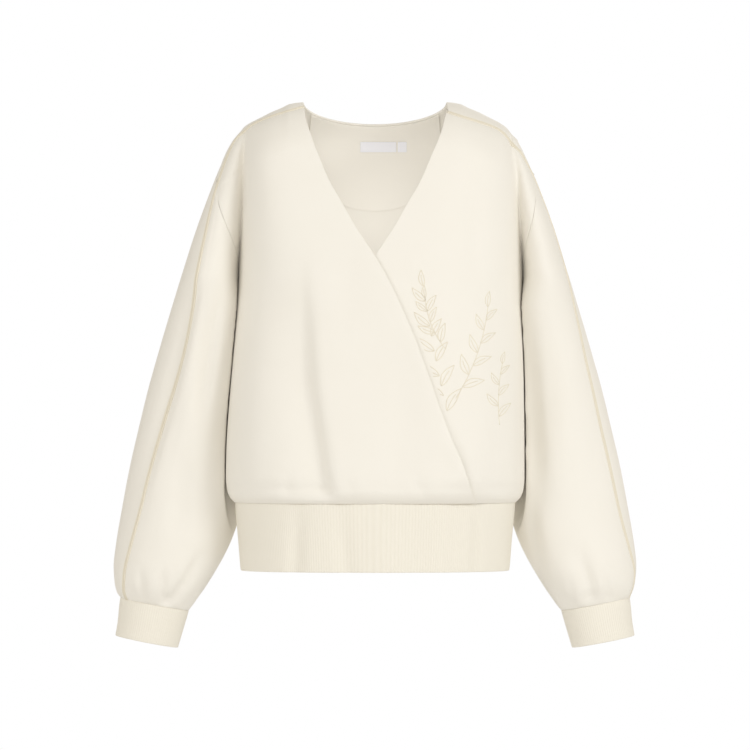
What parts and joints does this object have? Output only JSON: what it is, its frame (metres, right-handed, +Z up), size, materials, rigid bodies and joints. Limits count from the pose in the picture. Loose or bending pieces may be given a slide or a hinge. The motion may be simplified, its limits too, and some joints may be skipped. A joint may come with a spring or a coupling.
{
  "type": "wrap-front v-neck sweatshirt",
  "caption": "Cream wrap-front v-neck sweatshirt with dropped balloon sleeves, corded sleeve strips, rib waistband and cuffs.",
  "frame": {"origin": "midway between the two side neck points, where the garment hangs on the wearer's shoulders", "axes": "+Z up, from the hem to the neck; the front faces -Y; +X is the wearer's left"},
  "size_m": [0.6383, 0.2205, 0.6655],
  "materials": {
    "cloth": "matte",
    "rib": "matte",
    "piping": "satin",
    "facing": "matte",
    "label": "satin"
  },
  "bodies": {
    "root": {"front_right": "cloth", "front_left": "cloth", "back": "cloth", "sleeve_right_front": "cloth", "sleeve_right_back": "cloth", "sleeve_left_front": "cloth", "sleeve_left_back": "cloth", "waistband": "rib", "cuff_right": "rib", "cuff_left": "rib", "piping_right": "piping", "piping_left": "piping", "back_facing": "facing", "label": "label", "size_tab": "label"}
  },
  "joints": []
}
